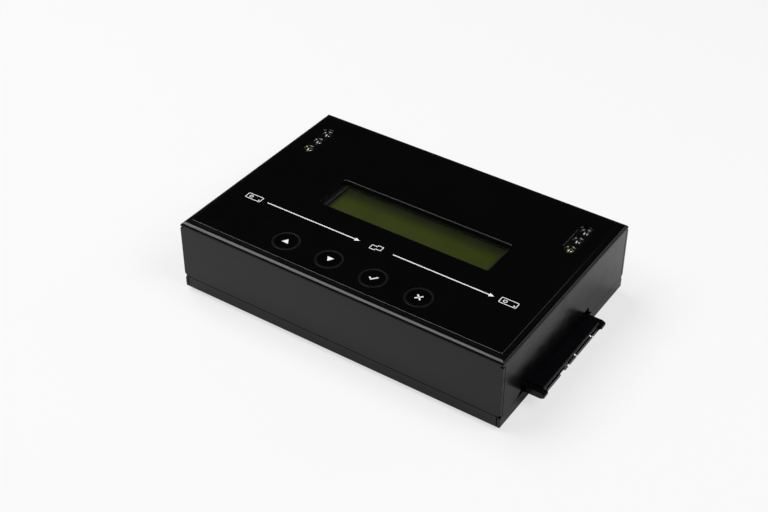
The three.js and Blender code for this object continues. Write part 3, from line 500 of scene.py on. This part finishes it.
def dress_case():
    dress_sheet("top_cover", PAINT)
    dress_sheet("base_tray", PAINT)
    dress("graphic_overlay", FILM, FILM_FACET, FILM_FACETS, on_film_edge)
    dress("display_window", PANE)
    dress("lcd_bezel", BLACK_METAL)
    dress("lcd_glass", DISPLAY)
    dress("lcd_backlight", MILKY)
    for number in CORNERS:
        dress(f"foot_{number}", RUBBER, FOOT_ROUNDING)
        dress(f"case_screw_{number}", BLACK_STEEL)


def dress_inside():
    looks = {
        "panel_board": SOLDER_MASK,
        "main_board": SOLDER_MASK,
        "controller_chip": EPOXY_CHIP,
        "memory_chip": EPOXY_CHIP,
        "inductor": FERRITE,
        "capacitor": CAN,
        "crystal": CAN,
        "board_link": MOULDING,
    }
    for key in KEYS:
        looks[f"{key}_plunger"] = MOULDING
        looks[f"{key}_switch"] = MOULDING
    for number in CORNERS:
        looks[f"board_screw_{number}"] = ZINC
        looks[f"board_post_{number}"] = NICKEL
    for name, material in looks.items():
        dress(name, material)


def dress_lamp_holders():
    for end in ENDS:
        dress(f"{end}_lamp_holder", HOLDER, HOLDER_ROUNDING)


def faces_become(name, material, chosen):
    """Another material on those faces of a node whose centre and normal are chosen."""
    mesh = nodes[name].data
    mesh.materials.append(material)
    for face in mesh.polygons:
        if chosen(face.center, face.normal):
            face.material_index = len(mesh.materials) - 1


# Drive receptacles: gilt contacts on the floor of the slots, but for the pocket between the slots
CONTACT_FROM = 5.96 * MM
CONTACT_TO = 6.21 * MM
CONTACT_TIP = 67.9 * MM
POCKET_SPAN = (-7.02 * MM, -5.38 * MM)
TAIL_FROM = 53.55 * MM
EAR_HALF = 21.3 * MM
ENDWISE = 0.5


def drive_middle(end):
    low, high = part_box(f"{end}_connector")
    return high.y - EAR_HALF if end == "target" else low.y + EAR_HALF


def dress_receptacles():
    for end, side in ENDS.items():
        name = f"{end}_connector"
        middle = drive_middle(end)

        def is_contact(centre, normal):
            across = side * (centre.y - middle)
            in_pocket = POCKET_SPAN[0] < across < POCKET_SPAN[1]
            in_slot = CONTACT_FROM < centre.z < CONTACT_TO and not in_pocket
            return in_slot and (abs(normal.x) < ENDWISE or abs(centre.x) > CONTACT_TIP)

        dress(name, MOULDING)
        faces_become(name, GOLD, is_contact)
        faces_become(name, TIN, lambda centre, normal: abs(centre.x) < TAIL_FROM)


# Mouth of each receptacle: the slanting bead of its lower lip, broken at the keys, the pocket and
# the notches, and two spring clips across the power slot, beside the notches. The bead's spans are
# in millimetres from the receptacle's middle.
LIP_SPANS = ((-19.0, -8.2), (-5.4, -3.3), (-2.1, 2.53), (3.13, 13.96), (14.56, 19.0))
LIP_DEPTH = 0.35 * MM
LIP_LEVELS = (5.3 * MM, 5.4 * MM)
LIP_BEAD = 0.38 * MM
SLANT = math.tan(math.radians(38))
CLIP_AT = (2.3 * MM, 13.3 * MM)
CLIP_WIDTH = 0.4 * MM
CLIP_SHEET = 0.12 * MM
CLIP_LEAN = 0.9 * MM
CLIP_LOW = 5.9 * MM
MOUTH_REACH = 5.65 * MM


def add_prism(build, profile, near, far):
    """A prism along y over a closed profile of (x, z) points."""
    rings = [[build.verts.new((x, y, z)) for x, z in profile] for y in (near, far)]
    for ring in rings:
        build.faces.new(ring)
    for index in range(len(profile)):
        after = (index + 1) % len(profile)
        build.faces.new((rings[0][index], rings[0][after], rings[1][after], rings[1][index]))


def make_mouth(end, side):
    middle = drive_middle(end)
    mouth = side * (CASE_HIGH.x + MOUTH_REACH)

    def build_lip(build):
        low, high = LIP_LEVELS
        bead = mouth + side * LIP_BEAD
        top = high + LIP_BEAD * SLANT
        profile = ((mouth - side * LIP_DEPTH, low), (bead, low), (bead, high), (mouth, top))
        for start, stop in LIP_SPANS:
            add_prism(build, profile, middle + side * start * MM, middle + side * stop * MM)

    def build_clips(build):
        low, high = CLIP_LOW, CLIP_LOW + CLIP_LEAN * SLANT
        heel = mouth - side * CLIP_LEAN
        sheet = side * CLIP_SHEET
        profile = ((heel, high), (heel - sheet, high), (mouth - sheet, low), (mouth, low))
        for offset in CLIP_AT:
            y = middle + side * offset
            add_prism(build, profile, y - CLIP_WIDTH / 2, y + CLIP_WIDTH / 2)

    lip = new_piece(f"{end}_lower_lip", build_lip, GLOSS_MOULDING, "housing", smooth=False)
    clips = new_piece(f"{end}_mouth_clips", build_clips, SPRING, "housing", smooth=False)


# Power inlet and rocker switch
PIN_REACH = 1.2 * MM
JACK_AXIS_HEIGHT = 6.5 * MM
JACK_ROUNDING = 0.1 * MM
TERMINAL_LENGTH = 4.2 * MM
SWITCH_ROUNDING = 0.12 * MM
ROCKER_ROUNDING = 0.15 * MM


def dress_back():
    dress("power_jack", MOULDING, JACK_ROUNDING)
    low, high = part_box("power_jack")
    axis_x = (low.x + high.x) / 2
    axis_z = low.z + JACK_AXIS_HEIGHT
    faces_become(
        "power_jack",
        TIN,
        lambda centre, normal: math.hypot(centre.x - axis_x, centre.z - axis_z) < PIN_REACH,
    )
    dress("power_switch", MOULDING, SWITCH_ROUNDING)
    terminal_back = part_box("power_switch")[0].y + TERMINAL_LENGTH
    faces_become("power_switch", TIN, lambda centre, normal: centre.y < terminal_back)
    dress("power_rocker", GLOSS_MOULDING, ROCKER_ROUNDING)


# New pieces, made as closed meshes
QUARTER_STEPS = 6


def new_piece(name, mesh_builder, material, body, smooth=True):
    mesh = bpy.data.meshes.new(name)
    build = bmesh.new()
    mesh_builder(build)
    bmesh.ops.recalc_face_normals(build, faces=build.faces)
    build.to_mesh(mesh)
    build.free()
    mesh.materials.append(material)
    for face in mesh.polygons:
        face.use_smooth = smooth
    piece = bpy.data.objects.new(name, mesh)
    bpy.context.scene.collection.objects.link(piece)
    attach(piece, body)
    return piece


def add_plate(build, outline, bottom, top):
    """A flat plate over a closed outline of (x, y) points."""
    lower = [build.verts.new((x, y, bottom)) for x, y in outline]
    upper = [build.verts.new((x, y, top)) for x, y in outline]
    build.faces.new(lower)
    build.faces.new(upper)
    for index, corner in enumerate(lower):
        after = (index + 1) % len(outline)
        build.faces.new((corner, lower[after], upper[after], upper[index]))


def add_band(build, outer, inner, bottom, top):
    """A flat plate between two outlines with as many points each."""
    rings = [
        [build.verts.new((x, y, z)) for x, y in outline]
        for outline, z in ((outer, bottom), (outer, top), (inner, top), (inner, bottom))
    ]
    count = len(outer)
    for ring, following in zip(rings, rings[1:] + rings[:1]):
        for index in range(count):
            after = (index + 1) % count
            build.faces.new((ring[index], ring[after], following[after], following[index]))


def rounded(centre, width, depth, radius, steps=QUARTER_STEPS):
    """Points round a rectangle with rounded corners."""
    points = []
    for quarter, (side_x, side_y) in enumerate(((1, 1), (-1, 1), (-1, -1), (1, -1))):
        for step in range(steps + 1):
            angle = (quarter + step / steps) * math.pi / 2
            points.append((
                centre[0] + side_x * (width / 2 - radius) + radius * math.cos(angle),
                centre[1] + side_y * (depth / 2 - radius) + radius * math.sin(angle),
            ))
    return points


def stroke(start, end, width):
    """The four corners of a straight stroke."""
    along = (Vector(end) - Vector(start)).normalized() * width / 2
    across = Vector((-along.y, along.x))
    start, end = Vector(start), Vector(end)
    return [tuple(point) for point in (start - across, end - across, end + across, start + across)]


def add_lathe(build, profile, sides, centre):
    """A closed turned body from (radius, height) points that start and end on the axis."""
    rings = []
    for radius, height in profile:
        if radius < MERGE:
            rings.append([build.verts.new((centre[0], centre[1], height))])
            continue
        ring = []
        for side in range(sides):
            angle = 2 * math.pi * side / sides
            x = centre[0] + radius * math.cos(angle)
            y = centre[1] + radius * math.sin(angle)
            ring.append(build.verts.new((x, y, height)))
        rings.append(ring)
    for lower, upper in zip(rings, rings[1:]):
        for side in range(sides):
            after = (side + 1) % sides
            corners = [lower[side % len(lower)], lower[after % len(lower)]]
            corners += [upper[after % len(upper)], upper[side % len(upper)]]
            build.faces.new(list(dict.fromkeys(corners)))


# Printing on the film, in white ink. Places along the row of arrows are in millimetres.
INK_SUNK = 0.005 * MM
INK_PROUD = 0.001 * MM
LINE_WIDTH = 0.42 * MM
ARROW_LENGTH = 1.8 * MM
ARROW_WIDTH = 1.7 * MM
ARROW_ROW = 25.0
ARROWS = {"near": (17.6, 56.1), "far": (69.4, 107.8)}
MARK_STROKE = 0.28 * MM
DRIVE_WIDTH = 6.4 * MM
DRIVE_DEPTH = 2.9 * MM
DRIVE_CORNER = DRIVE_DEPTH / 6
DRIVE_MARK_AT = {"source": 12.0, "target": 113.2}
PLATTER_SIDE = DRIVE_DEPTH / 2
PLATTER_SHIFT = DRIVE_WIDTH / 5
DOT_RADIUS = DRIVE_DEPTH / 10
DOT_INSET = DRIVE_DEPTH / 3
DOT_DROP = DRIVE_DEPTH / 5
COPY_MARK_AT = 62.8
COPY_SIDE = 2.3 * MM
COPY_CORNER = COPY_SIDE / 8
COPY_STEP = 1.0 * MM
COPY_LIFT = COPY_STEP / 3
INNER_CORNER_SHARE = 0.25
ON_FILM = Matrix.Translation((0, 0, FILM_HIGH.z))


def on_case(x, y):
    """The place that lies x and y millimetres from the case's front left corner."""
    return CASE_LOW.x + x * MM, CASE_LOW.y + y * MM


def ink(name, outlines, bands=(), body="housing", place=ON_FILM):
    """One printed mark of filled outlines, and of bands between an outer and an inner outline."""
    def build_mark(build):
        for outline in outlines:
            add_plate(build, outline, -INK_SUNK, INK_PROUD)
        for outer, inner in bands:
            add_band(build, outer, inner, -INK_SUNK, INK_PROUD)
        build.transform(place)

    mark = new_piece(name, build_mark, INK, body, smooth=False)


def frame_band(centre, width, depth, radius):
    """The outlines of a rounded rectangle's stroke."""
    inner_radius = max(radius - MARK_STROKE, radius * INNER_CORNER_SHARE)
    outer = rounded(centre, width, depth, radius)
    inner = rounded(centre, width - 2 * MARK_STROKE, depth - 2 * MARK_STROKE, inner_radius)
    return outer, inner


def circle(centre, radius):
    return rounded(centre, 2 * radius, 2 * radius, radius)


def print_arrows():
    for name, (start, tip) in ARROWS.items():
        line_start = on_case(start, ARROW_ROW)
        point = on_case(tip, ARROW_ROW)
        neck = (point[0] - ARROW_LENGTH, point[1])
        head = [
            point,
            (neck[0], neck[1] + ARROW_WIDTH / 2),
            (neck[0], neck[1] - ARROW_WIDTH / 2),
        ]
        ink(f"{name}_arrow", [stroke(line_start, neck, LINE_WIDTH), head])


def print_marks():
    """A plain drive symbol at either end of the arrows and a copy symbol between them."""
    for end, along in DRIVE_MARK_AT.items():
        x, y = on_case(along, ARROW_ROW)
        body = frame_band((x, y), DRIVE_WIDTH, DRIVE_DEPTH, DRIVE_CORNER)
        platter = frame_band((x - PLATTER_SHIFT, y), PLATTER_SIDE, PLATTER_SIDE, PLATTER_SIDE / 2)
        dot = circle((x + DRIVE_WIDTH / 2 - DOT_INSET, y - DOT_DROP), DOT_RADIUS)
        ink(f"{end}_mark", [dot], [body, platter])
    x, y = on_case(COPY_MARK_AT, ARROW_ROW)
    sheets = []
    for side in (-1, 1):
        middle = (x + side * COPY_STEP, y + side * COPY_LIFT)
        sheets.append(frame_band(middle, COPY_SIDE, COPY_SIDE, COPY_CORNER))
    ink("copy_mark", [], sheets)


# Rocker: a stroke on the half that is pressed to switch on, and a ring on the half that is in at
# rest. Both lie on the two largest faces that look outward.
ROCKER_MARK = 2.4 * MM
FACING_OUT = 0.9
HALF_DIGITS = 2


def mark_rocker():
    halves = {}
    for face in nodes["power_rocker"].data.polygons:
        if face.normal.y > FACING_OUT:
            halves.setdefault(face.normal.to_tuple(HALF_DIGITS), []).append(face)
    reach = ROCKER_MARK / 2
    ring = (circle((0, 0), reach), circle((0, 0), reach - LINE_WIDTH))
    marks = {"on": ([stroke((0, -reach), (0, reach), LINE_WIDTH)], []), "off": ([], [ring])}
    areas = {facing: sum(face.area for face in faces) for facing, faces in halves.items()}
    largest = sorted(areas, key=areas.get)[-2:]
    for (name, (outlines, bands)), facing in zip(marks.items(), sorted(largest)):
        weighted = sum((face.center * face.area for face in halves[facing]), Vector())
        middle = weighted / areas[facing]
        outward = halves[facing][0].normal
        upward = Vector((0, 0, 1))
        turned = turned_to(upward.cross(outward), upward, outward)
        place = Matrix.Translation(middle) @ turned
        ink(f"{name}_mark", outlines, bands, "rocker", place)


# Keys: glossy caps, a soft matt ring round the rim with painted sheen, and a printed symbol
KEY_RADIUS = 5.0 * MM
KEY_FLANGE_RADIUS = 6.0 * MM
KEY_STEM_RADIUS = 2.0 * MM
KEY_FLANGE = 0.8 * MM
KEY_ROUNDING = 0.12 * MM
KEY_DISH = 0.08 * MM
KEY_SIDES = 72
KEY_STEPS = 4
KEY_PLAY = 0.05 * MM
ROOF_SHEET = 1 * MM
# Radius, how far down the dish, and how much of the ring's matt finish and painted sheen
KEY_RING = (
    (4.62 * MM, 0.0, 1.0),
    (4.3 * MM, 0.15, 0.75),
    (4.05 * MM, 0.6, 0.25),
    (3.8 * MM, 1.0, 0.0),
)
KEY_EDGE_MATT_AND_SHEEN = 0.5
SYMBOL = 2.6 * MM
SYMBOL_STROKE = 0.5 * MM
# Places in the symbols, as shares of half their size
TRIANGLE_BASE = 0.75
TRIANGLE_TIP = 0.85
TICK_START = 0.1
TICK_ELBOW = (0.3, 0.8)
TICK_END = 0.8
TICK_OVERLAP = SYMBOL_STROKE / 3
CROSS_REACH = 0.8


def key_profile(low, high, flange_top):
    points = [
        (0, low),
        (KEY_STEM_RADIUS, low),
        (KEY_STEM_RADIUS, flange_top - KEY_FLANGE),
        (KEY_FLANGE_RADIUS, flange_top - KEY_FLANGE),
        (KEY_FLANGE_RADIUS, flange_top),
        (KEY_RADIUS, flange_top),
    ]
    for step in range(KEY_STEPS + 1):
        angle = step / KEY_STEPS * math.pi / 2
        points.append((
            KEY_RADIUS - KEY_ROUNDING * (1 - math.cos(angle)),
            high - KEY_ROUNDING * (1 - math.sin(angle)),
        ))
    points += [(radius, high - share * KEY_DISH) for radius, share, tone in KEY_RING]
    points.append((0, high - KEY_DISH))
    return points


def paint_ring(cap, centre, high):
    """Stores how much of the ring's matt finish and painted sheen each point of a cap has."""
    tones = cap.data.attributes.new(RING, "FLOAT", "POINT")
    for point, vertex in zip(tones.data, cap.data.vertices):
        if vertex.co.z < high - KEY_DISH - MERGE:
            continue
        radius = math.hypot(vertex.co.x - centre[0], vertex.co.y - centre[1])
        if radius > KEY_RING[0][0] + MERGE:
            point.value = KEY_EDGE_MATT_AND_SHEEN
        for ring_radius, share, tone in KEY_RING:
            if abs(radius - ring_radius) < MERGE:
                point.value = tone


def key_symbol(name, centre):
    """A triangle up or down, a tick or a cross."""
    x, y = centre
    half = SYMBOL / 2
    base = half * TRIANGLE_BASE
    tip = half * TRIANGLE_TIP
    if name == "up":
        return [[(x - half, y - base), (x + half, y - base), (x, y + tip)]]
    if name == "down":
        return [[(x + half, y + base), (x - half, y + base), (x, y - tip)]]
    if name == "ok":
        elbow = (x - half * TICK_ELBOW[0], y - half * TICK_ELBOW[1])
        start = (elbow[0] - TICK_OVERLAP, elbow[1] - TICK_OVERLAP)
        return [
            stroke((x - half, y - half * TICK_START), elbow, SYMBOL_STROKE),
            stroke(start, (x + half, y + half * TICK_END), SYMBOL_STROKE),
        ]
    reach = half * CROSS_REACH
    return [
        stroke((x - reach, y - reach), (x + reach, y + reach), SYMBOL_STROKE),
        stroke((x - reach, y + reach), (x + reach, y - reach), SYMBOL_STROKE),
    ]


def make_keys():
    flange_top = CASE_HIGH.z - ROOF_SHEET - KEY_PLAY
    for name in KEYS:
        low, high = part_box(f"{name}_key")
        centre = ((low.x + high.x) / 2, (low.y + high.y) / 2)
        profile = key_profile(low.z, high.z, flange_top)
        cap = new_piece(
            f"{name}_cap",
            lambda build: add_lathe(build, profile, KEY_SIDES, centre),
            KEY_CAP,
            f"{name}_button",
        )
        paint_ring(cap, centre, high.z)
        crease(cap)
        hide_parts(f"{name}_key")
        ink(f"{name}_symbol", key_symbol(name, centre), body=f"{name}_button",
            place=Matrix.Translation((0, 0, high.z - KEY_DISH)))


# Lamps: a resin lens over a small metal cup, on two legs
LENS_RADIUS = 1.5 * MM
LENS_FLANGE_RADIUS = 1.95 * MM
LENS_FLANGE = 1.0 * MM
LENS_SIDES = 48
LENS_STEPS = 14
LEG_SIDE = 0.5 * MM
LEG_CORNER = LEG_SIDE / 10
LEG_PITCH = 1.8 * MM
LAMP_LIFT = 2.4 * MM
CUP_RADIUS = 0.75 * MM
CUP_DEPTH = 0.35 * MM
CUP_BELOW = 3.1 * MM
CUP_LIP = 0.9
CUP_FLOOR = 0.5


def make_lamp(end, which):
    node = f"{end}_lamp_{which}"
    low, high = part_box(node)
    centre = ((low.x + high.x) / 2, (low.y + high.y) / 2)
    base = low.z + LAMP_LIFT
    dome_centre = high.z - LENS_RADIUS
    profile = [
        (0, base),
        (LENS_FLANGE_RADIUS, base),
        (LENS_FLANGE_RADIUS, base + LENS_FLANGE),
        (LENS_RADIUS, base + LENS_FLANGE),
    ]
    for step in range(LENS_STEPS + 1):
        angle = step / LENS_STEPS * math.pi / 2
        profile.append((LENS_RADIUS * math.cos(angle), dome_centre + LENS_RADIUS * math.sin(angle)))

    def build_legs(build):
        for side in (-1, 1):
            y = centre[1] + side * LEG_PITCH / 2
            outline = rounded((centre[0], y), LEG_SIDE, LEG_SIDE, LEG_CORNER, steps=1)
            add_plate(build, outline, low.z, base)

    cup_top = high.z - CUP_BELOW
    cup = [
        (0, cup_top - 2 * CUP_DEPTH),
        (CUP_RADIUS, cup_top - 2 * CUP_DEPTH),
        (CUP_RADIUS, cup_top),
        (CUP_RADIUS * CUP_LIP, cup_top),
        (CUP_RADIUS * CUP_FLOOR, cup_top - CUP_DEPTH),
        (0, cup_top - CUP_DEPTH),
    ]
    lens = new_piece(
        f"{node}_lens",
        lambda build: add_lathe(build, profile, LENS_SIDES, centre),
        LAMP_TINTS[which],
        "housing",
    )
    crease(lens)
    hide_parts(node)
    legs = new_piece(f"{node}_legs", build_legs, TIN, "housing", smooth=False)
    core = new_piece(
        f"{node}_cup",
        lambda build: add_lathe(build, cup, LENS_SIDES // 2, centre),
        TIN,
        "housing",
    )
    crease(core)


# Studio: a pale floor, a large soft light overhead to the left, one overhead to the right and a
# small one at the back right, low down. To the camera the floor has a darker tone and a glow of its
# own, so that it looks white with a soft shadow.
FLOOR_REACH = 4.0
FLOOR_TONE = (0.6, 0.6, 0.6)
FLOOR_ROUGHNESS = 0.9
FLOOR_SPECULAR = 0.1
SEEN_FLOOR_TONE = (0.22, 0.22, 0.22)
SEEN_FLOOR_LIFT = 0.66
AMBIENT = 0.12
HORIZON_WHITE = math.sin(math.radians(1))
HORIZON_DARK = math.sin(math.radians(4))
CEILING = 0.012
LIGHTS = {
    "key_light": {
        "toward": (-0.485, -0.115, 0.867),
        "along": (0, 0.991, 0.131),
        "away": 1.2,
        "size": (0.7, 1.2),
        "radiance": 6.0,
    },
    "fill_light": {
        "toward": (0.62, 0.0, 0.78),
        "along": (0, 1, 0),
        "away": 1.1,
        "size": (0.5, 0.5),
        "radiance": 8.0,
    },
    "rim_light": {
        "toward": (0.588, 0.693, 0.418),
        "along": (0, 0, 1),
        "away": 1.1,
        "size": (0.4, 0.2),
        "radiance": 2.2,
    },
}


def make_floor():
    mesh = bpy.data.meshes.new("floor")
    reach = FLOOR_REACH
    mesh.from_pydata(
        [(-reach, -reach, 0), (reach, -reach, 0), (reach, reach, 0), (-reach, reach, 0)],
        [],
        [(0, 1, 2, 3)],
    )
    floor = bpy.data.objects.new("floor", mesh)
    bpy.context.scene.collection.objects.link(floor)
    graph = Graph("pale_floor")
    shader = graph.shader
    camera = graph.add("LightPath").outputs["Is Camera Ray"]
    tone = graph.blend(camera, FLOOR_TONE, SEEN_FLOOR_TONE)
    graph.link(tone, shader.inputs["Base Color"])
    shader.inputs["Roughness"].default_value = FLOOR_ROUGHNESS
    shader.inputs["Specular IOR Level"].default_value = FLOOR_SPECULAR
    shader.inputs["Emission Color"].default_value = WHITE
    lift = combine(graph.tree, "MULTIPLY", camera, SEEN_FLOOR_LIFT)
    graph.link(lift, shader.inputs["Emission Strength"])
    mesh.materials.append(graph.material)


def make_world():
    """White to the camera, dark above the horizon in reflections, and faint as a light."""
    world = bpy.data.worlds.new("studio")
    bpy.context.scene.world = world
    world.use_nodes = True
    tree = world.node_tree
    background = tree.nodes["Background"]
    background.inputs["Color"].default_value = WHITE
    place = tree.nodes.new("ShaderNodeTexCoord")
    parts = tree.nodes.new("ShaderNodeSeparateXYZ")
    tree.links.new(place.outputs["Generated"], parts.inputs[0])
    fade = tree.nodes.new("ShaderNodeMapRange")
    fade.interpolation_type = "SMOOTHSTEP"
    settings = {"From Min": HORIZON_WHITE, "From Max": HORIZON_DARK, "To Min": 1, "To Max": CEILING}
    for name, value in settings.items():
        fade.inputs[name].default_value = value
    tree.links.new(parts.outputs["Z"], fade.inputs["Value"])
    path = tree.nodes.new("ShaderNodeLightPath")
    camera = path.outputs["Is Camera Ray"]
    glossy = path.outputs["Is Glossy Ray"]
    mirrored = combine(tree, "MAXIMUM", glossy, path.outputs["Is Transmission Ray"])
    backdrop = combine(tree, "MULTIPLY", mirrored, fade.outputs["Result"])
    seen = combine(tree, "MAXIMUM", camera, backdrop)
    lighting = combine(tree, "SUBTRACT", 1, combine(tree, "MAXIMUM", camera, mirrored))
    ambient = combine(tree, "MULTIPLY", lighting, AMBIENT)
    tree.links.new(combine(tree, "ADD", seen, ambient), background.inputs["Strength"])


def make_light(name, settings):
    """A soft light that faces the object, with its second side turned along the given direction."""
    width, height = settings["size"]
    data = bpy.data.lights.new(name, "AREA")
    data.shape = "RECTANGLE"
    data.size = width
    data.size_y = height
    data.energy = settings["radiance"] * width * height * math.pi
    lamp = bpy.data.objects.new(name, data)
    bpy.context.scene.collection.objects.link(lamp)
    toward = Vector(settings["toward"]).normalized()
    across = Vector(settings["along"]).cross(toward).normalized()
    turned = turned_to(across, toward.cross(across), toward)
    lamp.matrix_world = Matrix.Translation(toward * settings["away"]) @ turned
    lamp.visible_camera = False


def make_studio():
    make_floor()
    make_world()
    for name, settings in LIGHTS.items():
        make_light(name, settings)
    bpy.context.scene.view_settings.view_transform = "Standard"


make_camera()
dress_case()
dress_inside()
dress_lamp_holders()
dress_receptacles()
dress_back()
for end_name, end_side in ENDS.items():
    make_mouth(end_name, end_side)
print_arrows()
print_marks()
mark_rocker()
make_keys()
for end_name in ENDS:
    for lamp_name in LAMPS:
        make_lamp(end_name, lamp_name)
make_studio()
